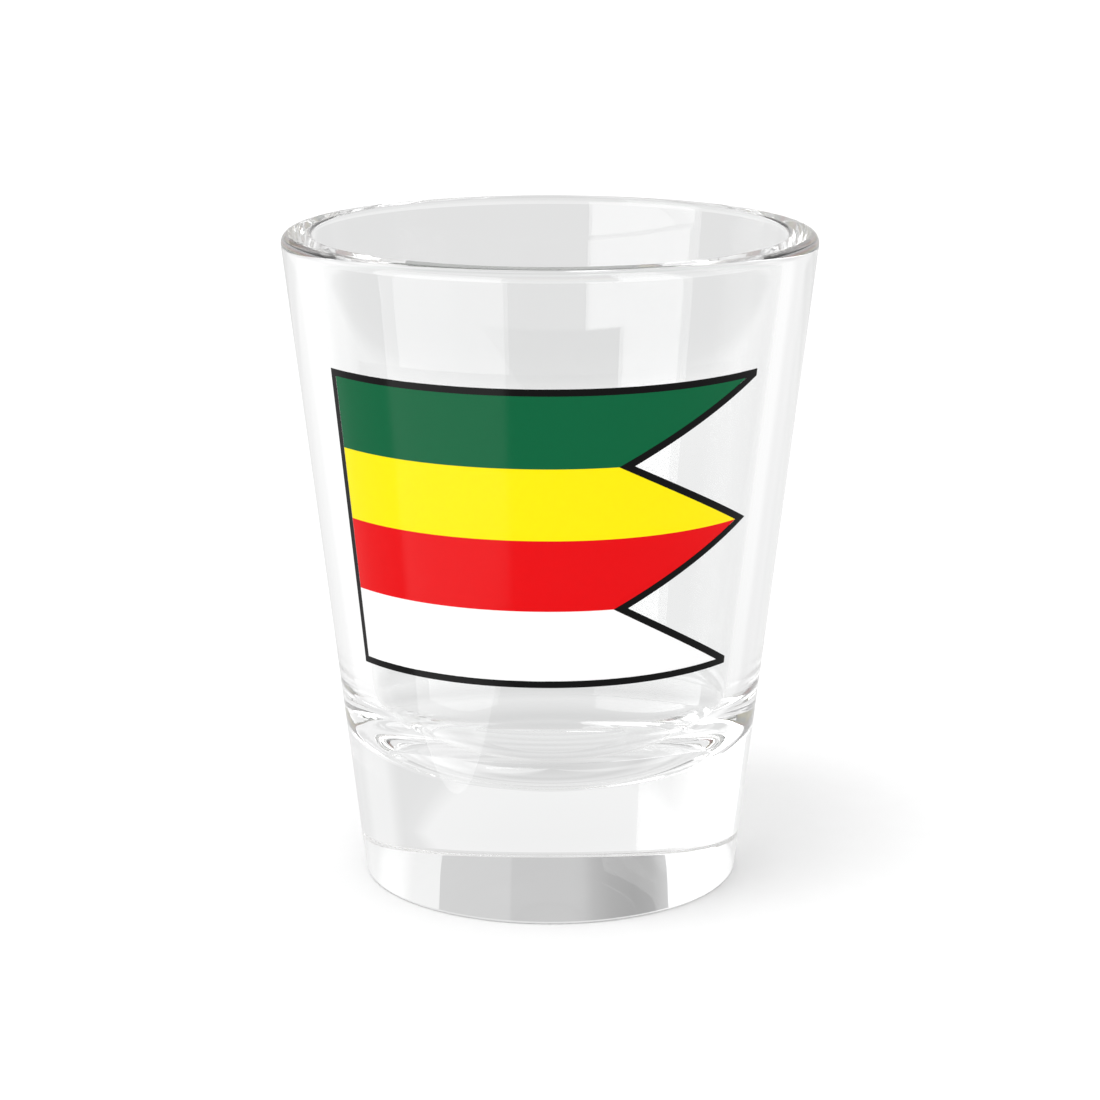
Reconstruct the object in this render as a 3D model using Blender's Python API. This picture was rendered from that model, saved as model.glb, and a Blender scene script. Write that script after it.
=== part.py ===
"""A tapered shot glass with a notched, banded flag printed on its side.

The glass is one pressed piece with a heavy base, a rounded rim and a flat foot.
The print is five thin films of ink that lie side by side on it: four colour bands, one above the
other, and the black outline round them.

Metres, +Z up. The origin is the centre of the foot, on the surface that the glass stands on.
The print faces -Y, and its angles run from there towards +X.
"""

import math

import bmesh
import bpy

# The glass
HEIGHT = 0.0600
FOOT_RADIUS = 0.0173  # of the outer cone, carried down to the table
MOUTH_RADIUS = 0.02435  # of the outer cone, carried up to the top of the rim
FOOT_CORNER = 0.0004  # rounding between the side and the foot
RIM_OUTER_CORNER = 0.00095  # rounding between the side and the flat top of the rim
RIM_INNER_CORNER = 0.0005
WALL = 0.0029  # thickness, measured level
FLOOR_HEIGHT = 0.0112  # of the edge of the drinking well's floor
FLOOR_DISH = 0.0012  # how far the floor dips towards its centre
FLOOR_FILLET = 0.0090  # rounding between the well's side and its floor

# The print
PRINT_LEFT = math.radians(-54.4)  # centre lines of the outline, round the glass from -Y
PRINT_TIPS = math.radians(50.3)
PRINT_NOTCHES = math.radians(17.1)
PRINT_ENDS = math.radians(50.5)  # where the top and bottom points are cut off
PRINT_BOTTOM = 0.02314
PRINT_TOP = 0.04953
PRINT_CLIMB = 0.00025  # how far the print has crept up the glass by the time it reaches its tips
BAND_NAMES = ("white", "red", "yellow", "green")  # from the bottom up
LINE_WIDTH = 0.00062
INK_THICKNESS = 0.00005
INK_GAP = 0.0003  # kept between a film and the glass or the next film

# How finely round shapes are divided
SEGMENTS = 72
ARC_STEP = math.radians(15)
DISH_STEPS = 5

SLOPE = (MOUTH_RADIUS - FOOT_RADIUS) / HEIGHT
TILT = math.atan(SLOPE)
FACET = 2 * math.pi / SEGMENTS
BAND_HEIGHT = (PRINT_TOP - PRINT_BOTTOM - LINE_WIDTH) / len(BAND_NAMES)


def outer_radius(height):
    return FOOT_RADIUS + SLOPE * height


def inner_radius(height):
    return outer_radius(height) - WALL


PRINT_RADIUS = outer_radius((PRINT_BOTTOM + PRINT_TOP) / 2)  # where flat artwork keeps its width


def clear_scene():
    for obj in list(bpy.data.objects):
        bpy.data.objects.remove(obj, do_unlink=True)


def plain_material(name, colour, roughness, transmission=0.0):
    material = bpy.data.materials.new(name)
    material.use_nodes = True
    shader = material.node_tree.nodes["Principled BSDF"]
    shader.inputs["Base Color"].default_value = (*colour, 1.0)
    shader.inputs["Roughness"].default_value = roughness
    shader.inputs["Metallic"].default_value = 0.0
    shader.inputs["Transmission Weight"].default_value = transmission
    return material


def add_object(name, bm, material):
    """Makes an object from a closed shape, with its faces turned outwards."""
    bmesh.ops.recalc_face_normals(bm, faces=bm.faces[:])
    if bm.calc_volume(signed=True) < 0.0:
        bmesh.ops.reverse_faces(bm, faces=bm.faces[:])
    mesh = bpy.data.meshes.new(name)
    bm.to_mesh(mesh)
    bm.free()
    mesh.shade_smooth()
    mesh.set_sharp_from_angle(angle=math.radians(40))
    mesh.materials.append(material)
    obj = bpy.data.objects.new(name, mesh)
    bpy.context.scene.collection.objects.link(obj)


# The glass's section, as (radius, height) points


def arc(centre, radius, start, end):
    """Points on an arc, ends included, at angles measured from outwards towards upwards."""
    steps = math.ceil(abs(end - start) / ARC_STEP)
    angles = [start + (end - start) * i / steps for i in range(steps + 1)]
    return [(centre[0] + radius * math.cos(a), centre[1] + radius * math.sin(a)) for a in angles]


def dish(edge_radius, edge_height, centre_height):
    """Points on a shallow dish, from its edge to the axis."""
    fall = edge_height - centre_height
    shares = [1 - i / DISH_STEPS for i in range(DISH_STEPS + 1)]
    return [(edge_radius * share, centre_height + fall * share**2) for share in shares]


def foot_corner():
    """The rounding from the flat foot up into the outer cone."""
    radius = outer_radius(FOOT_CORNER) - FOOT_CORNER / math.cos(TILT)
    return arc((radius, FOOT_CORNER), FOOT_CORNER, -math.pi / 2, -TILT)


def rim():
    """The rim's two roundings, from the outer cone over the top to the side of the well."""
    outer_height, inner_height = HEIGHT - RIM_OUTER_CORNER, HEIGHT - RIM_INNER_CORNER
    outer_middle = outer_radius(outer_height) - RIM_OUTER_CORNER / math.cos(TILT)
    inner_middle = inner_radius(inner_height) + RIM_INNER_CORNER / math.cos(TILT)
    outer_centre, inner_centre = (outer_middle, outer_height), (inner_middle, inner_height)
    return (
        arc(outer_centre, RIM_OUTER_CORNER, -TILT, 0.0)
        + arc(outer_centre, RIM_OUTER_CORNER, 0.0, math.pi / 2)[1:]
        + arc(inner_centre, RIM_INNER_CORNER, math.pi / 2, math.pi - TILT)
    )


def well_fillet():
    """The rounding from the side of the well down into its floor."""
    height = FLOOR_HEIGHT + FLOOR_FILLET
    radius = inner_radius(height) - FLOOR_FILLET / math.cos(TILT)
    return arc((radius, height), FLOOR_FILLET, -TILT, -math.pi / 2)


def glass_section():
    """From the centre of the foot, out and up the side, and back down to the well's centre."""
    fillet = well_fillet()
    floor = dish(fillet[-1][0], FLOOR_HEIGHT, FLOOR_HEIGHT - FLOOR_DISH)[1:]
    return [(0.0, 0.0)] + foot_corner() + rim() + fillet + floor


def add_glass():
    bm = bmesh.new()
    verts = [bm.verts.new((radius, 0.0, height)) for radius, height in glass_section()]
    edges = [bm.edges.new(pair) for pair in zip(verts, verts[1:])]
    bmesh.ops.spin(
        bm,
        geom=verts + edges,
        cent=(0.0, 0.0, 0.0),
        axis=(0.0, 0.0, 1.0),
        angle=2 * math.pi,
        steps=SEGMENTS,
        use_merge=True,
    )
    bmesh.ops.remove_doubles(bm, verts=bm.verts[:], dist=1e-6)
    add_object("glass_body", bm, plain_material("clear_glass", (0.95, 0.96, 0.96), 0.02, 1.0))


# The print's artwork, as (across, height) points laid out flat


def across(angle):
    """How far across the flat artwork an angle round the glass lies."""
    return angle * PRINT_RADIUS


def band_foot(band):
    """The height of a band's lower edge. The bands are equally high inside the outline."""
    return PRINT_BOTTOM + LINE_WIDTH / 2 + band * BAND_HEIGHT


def fly(offset):
    """The zigzag free edge, from the bottom up, moved outwards by offset."""
    run = across(PRINT_TIPS - PRINT_NOTCHES)
    shift = offset * math.hypot(run, BAND_HEIGHT) / BAND_HEIGHT
    angles = (PRINT_TIPS, PRINT_NOTCHES, PRINT_TIPS, PRINT_NOTCHES, PRINT_TIPS)
    heights = (PRINT_BOTTOM, band_foot(1), band_foot(2), band_foot(3), PRINT_TOP)
    return [(across(angle) + shift, height) for angle, height in zip(angles, heights)]


def fly_point(offset, height, band):
    """The free edge's place at a height within this band."""
    (low_across, low_height), (high_across, high_height) = fly(offset)[band : band + 2]
    share = (height - low_height) / (high_height - low_height)
    return low_across + (high_across - low_across) * share, height


def cut_point(point, notch):
    """Where the edge from a notch to a point is cut off."""
    end = across(PRINT_ENDS)
    share = (end - notch[0]) / (point[0] - notch[0])
    return end, notch[1] + (point[1] - notch[1]) * share


def outer_loop():
    """The outline's outer edge. The middle point is sharp, and the other two are cut off."""
    edge = LINE_WIDTH / 2
    left, low, high = across(PRINT_LEFT) - edge, PRINT_BOTTOM - edge, PRINT_TOP + edge
    free = fly(edge)
    first, last = cut_point(*free[:2]), cut_point(*free[:-3:-1])
    return [(left, low), (first[0], low), first, *free[1:-1], last, (last[0], high), (left, high)]


def inner_loop():
    """The outline's inner edge."""
    edge = LINE_WIDTH / 2
    left, low, high = across(PRINT_LEFT) + edge, PRINT_BOTTOM + edge, PRINT_TOP - edge
    last = len(BAND_NAMES) - 1
    first_point, last_point = fly_point(-edge, low, 0), fly_point(-edge, high, last)
    return [(left, low), first_point, *fly(-edge)[1:-1], last_point, (left, high)]


def band_loop(band):
    """A colour band's edge, clear of the outline and of the bands beside it."""
    edge = LINE_WIDTH / 2 + INK_GAP
    left = across(PRINT_LEFT) + edge
    low = max(band_foot(band) + INK_GAP / 2, PRINT_BOTTOM + edge)
    high = min(band_foot(band + 1) - INK_GAP / 2, PRINT_TOP - edge)
    return [(left, low), fly_point(-edge, low, band), fly_point(-edge, high, band), (left, high)]


def wrapped(point):
    """A point of the flat artwork put on the glass. Its third coordinate is its lift off it."""
    angle = point[0] / PRINT_RADIUS
    height = point[1] + PRINT_CLIMB * max(0.0, angle / PRINT_TIPS) ** 2
    radius = outer_radius(height) + INK_GAP + point[2]
    return radius * math.sin(angle), -radius * math.cos(angle), height


def add_film(name, loops, material):
    """A film of ink inside the first loop, less the second, bent where the glass's facets meet."""
    bm = bmesh.new()
    for loop in loops:
        verts = [bm.verts.new((*point, 0.0)) for point in loop]
        for pair in zip(verts, verts[1:] + verts[:1]):
            bm.edges.new(pair)
    bmesh.ops.triangle_fill(bm, use_beauty=True, edges=bm.edges[:])
    for facet in range(math.ceil(PRINT_LEFT / FACET), math.ceil(PRINT_TIPS / FACET) + 1):
        bmesh.ops.bisect_plane(
            bm,
            geom=bm.verts[:] + bm.edges[:] + bm.faces[:],
            dist=1e-7,
            plane_co=(across(facet * FACET), 0.0, 0.0),
            plane_no=(1.0, 0.0, 0.0),
        )
    top = bmesh.ops.extrude_face_region(bm, geom=bm.faces[:])["geom"]
    top_verts = [item for item in top if isinstance(item, bmesh.types.BMVert)]
    bmesh.ops.translate(bm, verts=top_verts, vec=(0.0, 0.0, INK_THICKNESS))
    for vert in bm.verts:
        vert.co = wrapped(vert.co)
    add_object(name, bm, material)


def add_print():
    colours = {
        "white": (0.90, 0.90, 0.89),
        "red": (0.76, 0.005, 0.006),
        "yellow": (0.98, 0.82, 0.005),
        "green": (0.005, 0.12, 0.045),
        "black": (0.01, 0.01, 0.01),
    }
    inks = {name: plain_material(name + "_ink", colour, 0.35) for name, colour in colours.items()}
    add_film("black_outline", [outer_loop(), inner_loop()], inks["black"])
    for band, name in enumerate(BAND_NAMES):
        add_film(name + "_band", [band_loop(band)], inks[name])


clear_scene()
add_glass()
add_print()
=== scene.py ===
import math

import bmesh
import bpy
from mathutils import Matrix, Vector


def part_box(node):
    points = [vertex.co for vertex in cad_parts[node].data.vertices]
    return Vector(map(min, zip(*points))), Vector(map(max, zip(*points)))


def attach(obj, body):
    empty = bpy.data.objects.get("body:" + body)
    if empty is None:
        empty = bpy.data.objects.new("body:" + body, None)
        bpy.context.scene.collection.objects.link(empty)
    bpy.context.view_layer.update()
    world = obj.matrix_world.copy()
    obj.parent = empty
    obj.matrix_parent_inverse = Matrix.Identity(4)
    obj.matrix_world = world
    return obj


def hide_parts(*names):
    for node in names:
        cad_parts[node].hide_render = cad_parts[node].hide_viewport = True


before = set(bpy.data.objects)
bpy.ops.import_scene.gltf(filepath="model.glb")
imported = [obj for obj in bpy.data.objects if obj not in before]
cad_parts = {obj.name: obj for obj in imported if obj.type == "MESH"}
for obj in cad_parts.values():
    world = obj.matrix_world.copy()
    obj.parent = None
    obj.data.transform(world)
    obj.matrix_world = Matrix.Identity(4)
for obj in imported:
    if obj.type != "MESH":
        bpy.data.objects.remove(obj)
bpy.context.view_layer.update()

BODY = "root"

# The glass, in metres. It stands on z = 0 and is round about the Z axis
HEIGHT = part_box("glass_body")[1][2]
FOOT_RADIUS = 0.0173
MOUTH_RADIUS = 0.02435  # of the outer cone at the rim's height, before the rim is rounded
FOOT_CORNER = 0.0004
RIM_OUTER_CORNER = 0.00095
RIM_INNER_CORNER = 0.0005
WALL = 0.0029
FLOOR_HEIGHT = 0.0112  # where the dished floor of the well meets its rounding
FLOOR_DISH = 0.0012  # how much lower the floor's middle is
FLOOR_FILLET = 0.0090

# The print. Its angles go round the glass from the front, -Y, towards +X
PRINT_LEFT = math.radians(-54.4)
PRINT_TIPS = math.radians(50.3)
PRINT_NOTCHES = math.radians(17.1)
PRINT_ENDS = math.radians(50.5)  # where the outline's first and last points are cut off
PRINT_BOTTOM = 0.02314
PRINT_TOP = 0.04953
PRINT_CLIMB = 0.00025  # how much higher the print sits at its right end
BAND_NAMES = ("white", "red", "yellow", "green")  # from the bottom up
LINE_WIDTH = 0.00062
FILM_FOOT = -0.00001  # the films start just inside the glass
BAND_TOP = 0.00003
LINE_TOP = 0.00005

# How fine the meshes are
SEGMENTS = 288
ARC_STEP = math.radians(4)
RING_STEP = 0.0015
DISH_RINGS = 24
SHARP_ANGLE = math.radians(50)
MERGE_DISTANCE = 1e-6
CUT_DISTANCE = 1e-7

SLOPE = (MOUTH_RADIUS - FOOT_RADIUS) / HEIGHT
TILT = math.atan(SLOPE)
FACET = 2 * math.pi / SEGMENTS
BAND_HEIGHT = (PRINT_TOP - PRINT_BOTTOM - LINE_WIDTH) / len(BAND_NAMES)


# Shapes


def outer_radius(height):
    return FOOT_RADIUS + SLOPE * height


def inner_radius(height):
    return outer_radius(height) - WALL


PRINT_RADIUS = outer_radius((PRINT_BOTTOM + PRINT_TOP) / 2)


def add_object(name, data):
    obj = bpy.data.objects.new(name, data)
    bpy.context.scene.collection.objects.link(obj)
    return obj


def new_piece(name, bm):
    bmesh.ops.recalc_face_normals(bm, faces=bm.faces[:])
    if bm.calc_volume(signed=True) < 0.0:
        bmesh.ops.reverse_faces(bm, faces=bm.faces[:])
    mesh = bpy.data.meshes.new(name)
    bm.to_mesh(mesh)
    bm.free()
    mesh.shade_smooth()
    mesh.set_sharp_from_angle(angle=SHARP_ANGLE)
    return add_object(name, mesh)


def arc(centre, radius, start, end):
    steps = math.ceil(abs(end - start) / ARC_STEP)
    angles = [start + (end - start) * i / steps for i in range(steps + 1)]
    return [(centre[0] + radius * math.cos(a), centre[1] + radius * math.sin(a)) for a in angles]


def stepped(start, end):
    """Points between two points, both left out."""
    steps = max(1, round(math.dist(start, end) / RING_STEP))
    return [
        tuple(a + (b - a) * i / steps for a, b in zip(start, end)) for i in range(1, steps)
    ]


def foot_corner():
    radius = outer_radius(FOOT_CORNER) - FOOT_CORNER / math.cos(TILT)
    return arc((radius, FOOT_CORNER), FOOT_CORNER, -math.pi / 2, -TILT)


def rim():
    """The rim's two roundings, from the outer cone over the top to the side of the well."""
    outer_height, inner_height = HEIGHT - RIM_OUTER_CORNER, HEIGHT - RIM_INNER_CORNER
    outer_middle = outer_radius(outer_height) - RIM_OUTER_CORNER / math.cos(TILT)
    inner_middle = inner_radius(inner_height) + RIM_INNER_CORNER / math.cos(TILT)
    outer_centre, inner_centre = (outer_middle, outer_height), (inner_middle, inner_height)
    return (
        arc(outer_centre, RIM_OUTER_CORNER, -TILT, 0.0)
        + arc(outer_centre, RIM_OUTER_CORNER, 0.0, math.pi / 2)[1:]
        + arc(inner_centre, RIM_INNER_CORNER, math.pi / 2, math.pi - TILT)
    )


def well_fillet():
    height = FLOOR_HEIGHT + FLOOR_FILLET
    radius = inner_radius(height) - FLOOR_FILLET / math.cos(TILT)
    return arc((radius, height), FLOOR_FILLET, -TILT, -math.pi / 2)


def well_floor(edge_radius):
    """A shallow bowl, from its edge to its middle."""
    shares = [1 - i / DISH_RINGS for i in range(DISH_RINGS + 1)]
    return [(edge_radius * share, FLOOR_HEIGHT - FLOOR_DISH * (1 - share**2)) for share in shares]


def glass_section():
    """Half of the glass's section, from the middle of its foot to the middle of its well."""
    corner, lip, fillet = foot_corner(), rim(), well_fillet()
    floor = well_floor(fillet[-1][0])[1:]
    side = stepped(corner[-1], lip[0])
    well = stepped(lip[-1], fillet[0])
    return [(0.0, 0.0)] + corner + side + lip + well + fillet + floor


def make_glass():
    bm = bmesh.new()
    verts = [bm.verts.new((radius, 0.0, height)) for radius, height in glass_section()]
    edges = [bm.edges.new(pair) for pair in zip(verts, verts[1:])]
    bmesh.ops.spin(
        bm, geom=verts + edges, cent=(0, 0, 0), axis=(0, 0, 1), angle=2 * math.pi, steps=SEGMENTS,
        use_merge=True,
    )
    bmesh.ops.remove_doubles(bm, verts=bm.verts[:], dist=MERGE_DISTANCE)
    return new_piece("glass", bm)


def across(angle):
    """How far across the flat artwork an angle round the glass lies."""
    return angle * PRINT_RADIUS


def band_foot(band):
    """The height of a band's lower edge. The bands are equally high inside the outline."""
    return PRINT_BOTTOM + LINE_WIDTH / 2 + band * BAND_HEIGHT


def fly(offset):
    """The zigzag free edge, from the bottom up, moved outwards by offset."""
    run = across(PRINT_TIPS - PRINT_NOTCHES)
    shift = offset * math.hypot(run, BAND_HEIGHT) / BAND_HEIGHT
    angles = (PRINT_TIPS, PRINT_NOTCHES, PRINT_TIPS, PRINT_NOTCHES, PRINT_TIPS)
    heights = (PRINT_BOTTOM, band_foot(1), band_foot(2), band_foot(3), PRINT_TOP)
    return [(across(angle) + shift, height) for angle, height in zip(angles, heights)]


def fly_point(offset, height, band):
    """The free edge's place at a height within this band."""
    (low_across, low_height), (high_across, high_height) = fly(offset)[band : band + 2]
    share = (height - low_height) / (high_height - low_height)
    return low_across + (high_across - low_across) * share, height


def cut_point(point, notch):
    """Where the edge from a notch to a point is cut off."""
    end = across(PRINT_ENDS)
    share = (end - notch[0]) / (point[0] - notch[0])
    return end, notch[1] + (point[1] - notch[1]) * share


def outer_loop():
    """The outline's outer edge. The middle point is sharp, and the other two are cut off."""
    edge = LINE_WIDTH / 2
    left, low, high = across(PRINT_LEFT) - edge, PRINT_BOTTOM - edge, PRINT_TOP + edge
    free = fly(edge)
    first, last = cut_point(*free[:2]), cut_point(*free[:-3:-1])
    return [(left, low), (first[0], low), first, *free[1:-1], last, (last[0], high), (left, high)]


def inner_loop():
    """The outline's inner edge."""
    edge = LINE_WIDTH / 2
    left, low, high = across(PRINT_LEFT) + edge, PRINT_BOTTOM + edge, PRINT_TOP - edge
    last = len(BAND_NAMES) - 1
    first_point, last_point = fly_point(-edge, low, 0), fly_point(-edge, high, last)
    return [(left, low), first_point, *fly(-edge)[1:-1], last_point, (left, high)]


def band_loop(band):
    """A band reaches the middle of the black line, which lies over its edge."""
    low = band_foot(band) if band else PRINT_BOTTOM
    high = band_foot(band + 1) if band + 1 < len(BAND_NAMES) else PRINT_TOP
    left = across(PRINT_LEFT)
    return [(left, low), fly_point(0, low, band), fly_point(0, high, band), (left, high)]


def wrapped(point):
    """Where a point of the flat artwork, with its height over the glass, comes to lie."""
    angle = point[0] / PRINT_RADIUS
    height = point[1] + PRINT_CLIMB * max(0.0, angle / PRINT_TIPS) ** 2
    radius = outer_radius(height) + point[2]
    return radius * math.sin(angle), -radius * math.cos(angle), height


def make_film(name, loops, top):
    """Flat artwork, cut where the facets of the glass meet, thickened and bent round the glass."""
    bm = bmesh.new()
    for loop in loops:
        verts = [bm.verts.new((*point, FILM_FOOT)) for point in loop]
        for pair in zip(verts, verts[1:] + verts[:1]):
            bm.edges.new(pair)
    bmesh.ops.triangle_fill(bm, use_beauty=True, edges=bm.edges[:])
    first, last = math.ceil(PRINT_LEFT / FACET), math.ceil(PRINT_TIPS / FACET) + 1
    for facet in range(first, last + 1):
        bmesh.ops.bisect_plane(
            bm,
            geom=bm.verts[:] + bm.edges[:] + bm.faces[:],
            dist=CUT_DISTANCE,
            plane_co=(across(facet * FACET), 0.0, 0.0),
            plane_no=(1.0, 0.0, 0.0),
        )
    lifted = bmesh.ops.extrude_face_region(bm, geom=bm.faces[:])["geom"]
    top_verts = [item for item in lifted if isinstance(item, bmesh.types.BMVert)]
    bmesh.ops.translate(bm, verts=top_verts, vec=(0.0, 0.0, top - FILM_FOOT))
    for vert in bm.verts:
        vert.co = wrapped(vert.co)
    return new_piece(name, bm)


# Materials

GLASS_IOR = 1.45
GLASS_COLOURS = ((0.990, 0.994, 0.993), (0.996, 0.997, 0.997))
GLASS_ROUGHNESS = (0.0, 0.012)
GLASS_WAVE_DEPTH = 0.000004
INK_COLOURS = {
    "black": (0.002, 0.002, 0.002),
    "white": (0.95, 0.95, 0.95),
    "red": (0.77, 0.0005, 0.003),
    "yellow": (0.96, 0.80, 0.001),
    "green": (0.0005, 0.118, 0.042),
}
INK_MOTTLE = 0.96  # how bright an ink's darkest spots are
INK_SPECULAR = 0.12
INK_ROUGHNESS = (0.10, 0.16)
INK_GRAIN_DEPTH = 0.000002
UNDERCOAT = 0.95
BACK_TINT = 0.3  # how much of an ink's colour shows in the undercoat behind it
PAPER_COLOURS = ((0.965, 0.965, 0.965), (0.985, 0.985, 0.985))


def add_node(tree, kind, **settings):
    node = tree.nodes.new(kind)
    for name, value in settings.items():
        setattr(node, name, value)
    return node


def fill(tree, sockets, values):
    """Joins each socket to a value's node, or sets it to the number."""
    for socket, value in zip(sockets, values):
        if isinstance(value, bpy.types.NodeSocket):
            tree.links.new(value, socket)
        else:
            socket.default_value = value


def noise(tree, scale, detail=2.0):
    """A pattern fixed to the piece, from 0 to 1. Its scale is in cells per metre."""
    node = add_node(tree, "ShaderNodeTexNoise")
    place = add_node(tree, "ShaderNodeTexCoord").outputs["Object"]
    fill(tree, [node.inputs[name] for name in ("Vector", "Scale", "Detail")], (place, scale, detail))
    return node.outputs["Fac"]


def blend(tree, share, low, high):
    node = add_node(tree, "ShaderNodeMix", data_type="FLOAT")
    fill(tree, (node.inputs[0], node.inputs[2], node.inputs[3]), (share, low, high))
    return node.outputs[0]


def tint(tree, share, low, high):
    """A colour between two, each of which is a colour or a node's output."""
    node = add_node(tree, "ShaderNodeMix", data_type="RGBA")
    ends = [(*end, 1) if isinstance(end, tuple) else end for end in (low, high)]
    fill(tree, (node.inputs[0], node.inputs[6], node.inputs[7]), (share, *ends))
    return node.outputs[2]


def maths(tree, operation, *values):
    node = add_node(tree, "ShaderNodeMath", operation=operation)
    fill(tree, node.inputs, values)
    return node.outputs[0]


def all_of(tree, *values):
    """The values' product. Where each is 0 or 1, it says whether all of them hold."""
    result = values[0]
    for value in values[1:]:
        result = maths(tree, "MULTIPLY", result, value)
    return result


def ramp_through(tree, place, stops):
    """A brightness that follows these stops, as (place, brightness), with places from 0 to 1."""
    node = add_node(tree, "ShaderNodeValToRGB")
    elements = node.color_ramp.elements
    while len(elements) < len(stops):
        elements.new(0.5)
    for element, (position, brightness) in zip(elements, stops):
        element.position = position
        element.color = (brightness, brightness, brightness, 1)
    tree.links.new(place, node.inputs[0])
    return node.outputs[0]


def relief(tree, height, depth):
    """A bump this deep, in metres, where the height goes from 0 to 1."""
    node = add_node(tree, "ShaderNodeBump")
    fill(tree, [node.inputs[name] for name in ("Height", "Distance")], (height, depth))
    return node.outputs["Normal"]


def outward(tree):
    """1 on faces that look away from the glass's axis, and 0 on those that look towards it."""
    coordinates = add_node(tree, "ShaderNodeTexCoord").outputs
    level = add_node(tree, "ShaderNodeVectorMath", operation="MULTIPLY")
    product = add_node(tree, "ShaderNodeVectorMath", operation="DOT_PRODUCT")
    fill(tree, level.inputs, (coordinates["Object"], (1, 1, 0)))
    fill(tree, product.inputs, (level.outputs[0], coordinates["Normal"]))
    return maths(tree, "GREATER_THAN", product.outputs["Value"], 0.0)


def new_material(name):
    material = bpy.data.materials.new(name)
    material.use_nodes = True
    return material, material.node_tree, material.node_tree.nodes["Principled BSDF"]


def finish_surface(tree, shader, colour, roughness, normal):
    targets = [shader.inputs[name] for name in ("Base Color", "Roughness", "Normal")]
    fill(tree, targets, (colour, roughness, normal))


def glass_material():
    """Clear pressed glass: faint waves left by the mould, and a trace of handling."""
    material, tree, shader = new_material("clear_glass")
    shader.inputs["IOR"].default_value = GLASS_IOR
    shader.inputs["Transmission Weight"].default_value = 1.0
    clouds = noise(tree, 60.0)
    handling = noise(tree, 220.0)
    waves = noise(tree, 90.0, detail=0.0)
    colour = tint(tree, clouds, *GLASS_COLOURS)
    roughness = blend(tree, handling, *GLASS_ROUGHNESS)
    finish_surface(tree, shader, colour, roughness, relief(tree, waves, GLASS_WAVE_DEPTH))
    return material


def ink_material(name):
    """Glossy screen-printed ink: a little mottled, with the grain of the screen in its surface.

    Its back, seen through the glass, is the white coat under the colours, which tint it.
    """
    colour = INK_COLOURS[name]
    material, tree, shader = new_material(name + "_ink")
    shader.inputs["Specular IOR Level"].default_value = INK_SPECULAR
    spots = noise(tree, 1500.0, detail=4.0)
    patches = noise(tree, 400.0)
    grain = noise(tree, 6000.0)
    front = tint(tree, spots, tuple(INK_MOTTLE * channel for channel in colour), colour)
    back = tuple(UNDERCOAT + (channel - UNDERCOAT) * BACK_TINT for channel in colour)
    ink = tint(tree, outward(tree), back, front)
    roughness = blend(tree, patches, *INK_ROUGHNESS)
    finish_surface(tree, shader, ink, roughness, relief(tree, grain, INK_GRAIN_DEPTH))
    return material


def paper_material():
    material, tree, shader = new_material("white_paper")
    shader.inputs["Roughness"].default_value = 1.0
    shader.inputs["Specular IOR Level"].default_value = 0.0
    mottle = noise(tree, 300.0)
    tree.links.new(tint(tree, mottle, *PAPER_COLOURS), shader.inputs["Base Color"])
    return material


# Pieces


def add_piece(piece, node, material):
    piece.data.materials.append(material)
    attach(piece, BODY)
    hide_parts(node)


add_piece(make_glass(), "glass_body", glass_material())
for band, name in enumerate(BAND_NAMES):
    film = make_film(name + "_film", [band_loop(band)], BAND_TOP)
    add_piece(film, name + "_band", ink_material(name))
outline = make_film("black_film", [outer_loop(), inner_loop()], LINE_TOP)
add_piece(outline, "black_outline", ink_material("black"))


# The stage

FLOOR_HALF = 2.0
SKY_STOPS = (
    # sine of the elevation, brightness
    (-1.00, 0.66),
    (-0.92, 0.72),
    (-0.84, 0.66),
    (-0.76, 0.74),
    (-0.68, 0.81),
    (-0.61, 0.70),
    (-0.52, 0.84),
    (-0.42, 0.78),
    (-0.30, 0.86),
    (-0.225, 0.875),
    (-0.205, 0.90),
    (-0.196, 0.92),
    (-0.186, 0.77),
    (0.10, 0.75),
    (0.25, 0.92),
    (0.60, 0.85),
    (1.00, 0.80),
)
SIDE_STOPS = (
    # azimuth from -Y towards +X in degrees, how many times brighter the surroundings are there
    (-180, 1.00),
    (-164, 1.00),
    (-162, 1.06),
    (-156, 1.09),
    (-149, 1.24),
    (-112, 1.27),
    (-105, 1.00),
    (122, 1.00),
    (129, 1.16),
    (140, 1.16),
    (146, 1.01),
    (160, 1.00),
    (180, 1.00),
)
MOST_GAIN = 2.0  # a ramp holds 0 to 1, so the gains are divided by this and multiplied again
CARD_WIDTHS = (0.505, 0.455)  # of the grey card behind, towards -X and +X, over its distance
CARD_LOW = math.sin(math.radians(12))
CARD_HIGH = math.sin(math.radians(38))
CARD_STOPS = (
    # share of its width from -X, brightness
    (0.00, 0.54),
    (0.10, 0.39),
    (0.20, 0.36),
    (0.30, 0.40),
    (0.37, 0.47),
    (0.41, 0.55),
    (0.45, 0.57),
    (0.66, 0.57),
    (0.67, 0.63),
    (1.00, 0.64),
)
BACKGROUND = 1.0  # brightness of the surroundings as the camera sees them
FLOOR_GLOW = 0.97  # and as matt surfaces see them
KEY_AZIMUTH = -49
KEY_DISTANCE = 0.9
KEY_WIDTH = 1.0
KEY_BOXES = (
    # name, height, height of its centre, radiance
    ("key", 0.94, 0.27, 2.5),
    ("key_foot", 0.30, -0.35, 1.65),
)
SUN_AZIMUTH = -43
SUN_ELEVATION = 67
SUN_SPREAD = 32
SUN_STRENGTH = 0.90
CAMERA_PLACE = (0.0, -0.2892, 0.10168)
CAMERA_DOWN = 13.875  # degrees below the level
CAMERA_SENSOR = 36.0
CAMERA_LENS = 105.56
CAMERA_CLIP = 0.01
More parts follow.
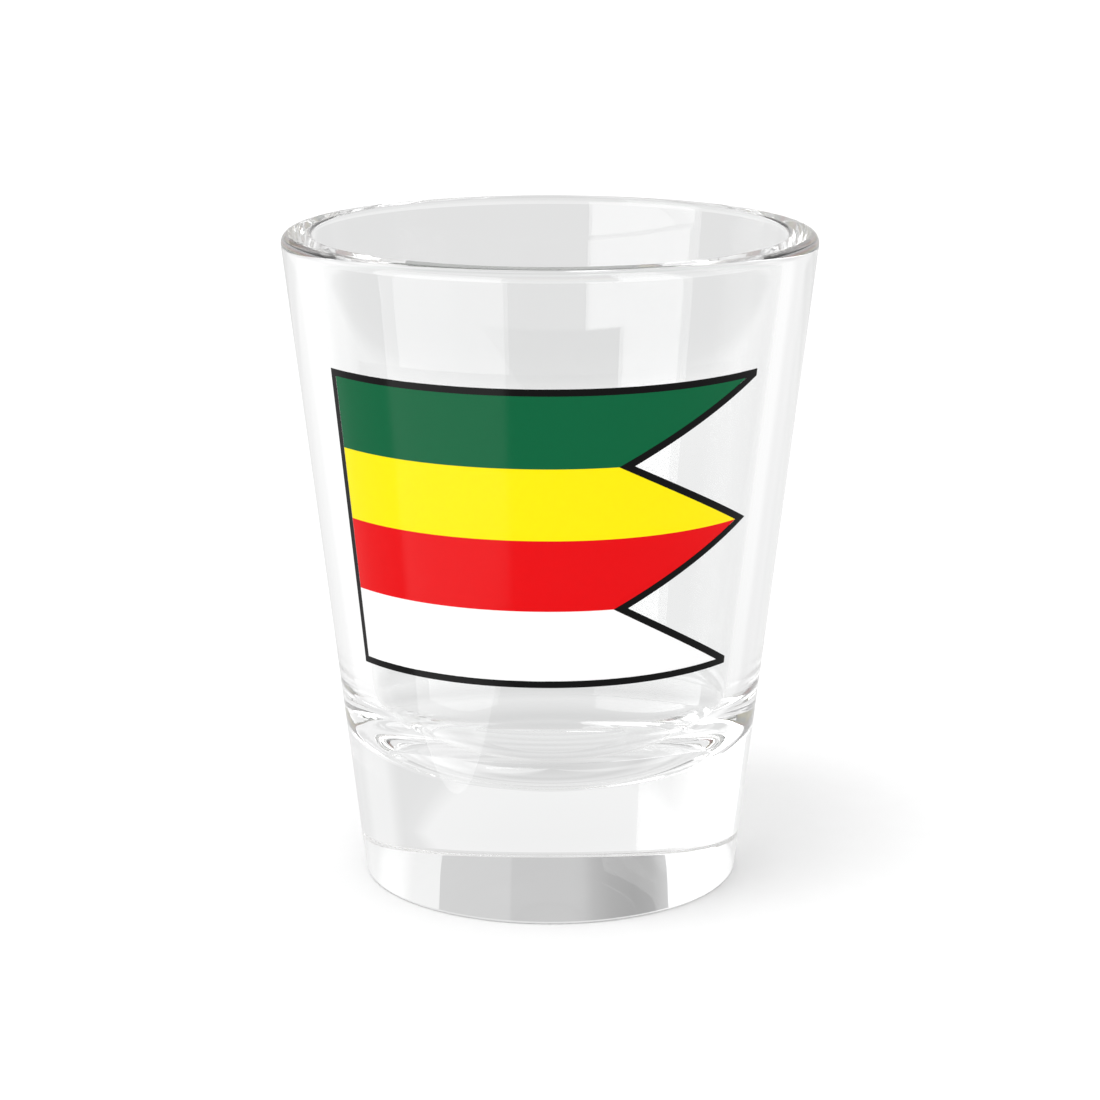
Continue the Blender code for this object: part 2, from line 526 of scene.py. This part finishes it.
LIGHT_BOUNCES = 40  # the rim and the well send light through the glass many times


def add_floor():
    """A white floor that only the camera and matt surfaces see."""
    sides = ((-1, -1), (1, -1), (1, 1), (-1, 1))
    mesh = bpy.data.meshes.new("floor")
    mesh.from_pydata([(FLOOR_HALF * x, FLOOR_HALF * y, 0) for x, y in sides], [], [(0, 1, 2, 3)])
    mesh.materials.append(paper_material())
    floor = add_object("floor", mesh)
    floor.visible_glossy = False
    floor.visible_transmission = False


def grey_card(tree, x, y, z):
    """Whether a direction meets the card that stands behind the glass, and its brightness there."""
    width = sum(CARD_WIDTHS)
    sideways = maths(tree, "DIVIDE", x, y)
    place = maths(tree, "MULTIPLY_ADD", sideways, 1 / width, CARD_WIDTHS[0] / width)
    met = all_of(
        tree,
        maths(tree, "GREATER_THAN", y, 0.0),
        maths(tree, "GREATER_THAN", place, 0.0),
        maths(tree, "LESS_THAN", place, 1.0),
        maths(tree, "GREATER_THAN", z, CARD_LOW),
        maths(tree, "LESS_THAN", z, CARD_HIGH),
    )
    return met, ramp_through(tree, place, CARD_STOPS)


def studio_walls(tree, x, y, z):
    """The brightness of the surroundings, by height and by side."""
    heights = [((sine + 1) / 2, brightness) for sine, brightness in SKY_STOPS]
    by_height = ramp_through(tree, maths(tree, "MULTIPLY_ADD", z, 0.5, 0.5), heights)
    turn = maths(tree, "ARCTAN2", x, maths(tree, "MULTIPLY", y, -1.0))
    sides = [(azimuth / 360 + 0.5, gain / MOST_GAIN) for azimuth, gain in SIDE_STOPS]
    by_side = ramp_through(tree, maths(tree, "MULTIPLY_ADD", turn, 0.5 / math.pi, 0.5), sides)
    return all_of(tree, by_height, by_side, MOST_GAIN)


def build_world():
    """What glass and gloss show. The camera sees a plain background, and matt surfaces a glow."""
    world = bpy.data.worlds.new("studio")
    bpy.context.scene.world = world
    world.use_nodes = True
    tree = world.node_tree
    direction = add_node(tree, "ShaderNodeSeparateXYZ")
    tree.links.new(add_node(tree, "ShaderNodeTexCoord").outputs["Generated"], direction.inputs[0])
    met, card = grey_card(tree, *direction.outputs)
    brightness = blend(tree, met, studio_walls(tree, *direction.outputs), card)
    rays = add_node(tree, "ShaderNodeLightPath").outputs
    brightness = blend(tree, rays["Is Diffuse Ray"], brightness, FLOOR_GLOW)
    brightness = blend(tree, rays["Is Camera Ray"], brightness, BACKGROUND)
    background = tree.nodes["Background"]
    background.inputs["Color"].default_value = (1, 1, 1, 1)
    tree.links.new(brightness, background.inputs["Strength"])


def way_to(azimuth, elevation):
    """The direction from the glass to a light. Azimuths go from -Y towards +X."""
    turn, lift = math.radians(azimuth), math.radians(elevation)
    return Vector((math.sin(turn) * math.cos(lift), -math.cos(turn) * math.cos(lift), math.sin(lift)))


def add_light(light, way):
    """A light that shines back along this direction, and that the camera doesn't see."""
    obj = add_object(light.name, light)
    obj.rotation_euler = (-way).to_track_quat("-Z", "Y").to_euler()
    obj.visible_camera = False
    return obj


def add_softbox(name, height, centre_height, radiance):
    """A soft light to the left, which shows only in the glass and in the shine of the inks."""
    light = bpy.data.lights.new(name, "AREA")
    light.shape = "RECTANGLE"
    light.size = KEY_WIDTH
    light.size_y = height
    light.energy = radiance * math.pi * KEY_WIDTH * height
    way = way_to(KEY_AZIMUTH, 0)
    box = add_light(light, way)
    box.location = Vector((0, 0, centre_height)) + KEY_DISTANCE * way
    box.visible_diffuse = False


def add_sun():
    """A distant soft light that only matt surfaces see. It casts the glass's shadow."""
    light = bpy.data.lights.new("sun", "SUN")
    light.angle = math.radians(SUN_SPREAD)
    light.energy = SUN_STRENGTH
    sun = add_light(light, way_to(SUN_AZIMUTH, SUN_ELEVATION))
    sun.visible_glossy = False
    sun.visible_transmission = False


def add_camera():
    data = bpy.data.cameras.new("camera")
    data.sensor_width = CAMERA_SENSOR
    data.lens = CAMERA_LENS
    data.clip_start = CAMERA_CLIP
    camera = add_object("camera", data)
    camera.location = CAMERA_PLACE
    camera.rotation_euler = (math.radians(90 - CAMERA_DOWN), 0.0, 0.0)
    bpy.context.scene.camera = camera


add_floor()
build_world()
for box in KEY_BOXES:
    add_softbox(*box)
add_sun()
add_camera()
bpy.context.scene.view_settings.view_transform = "Standard"
cycles = bpy.context.scene.cycles
cycles.max_bounces = cycles.transmission_bounces = cycles.glossy_bounces = LIGHT_BOUNCES
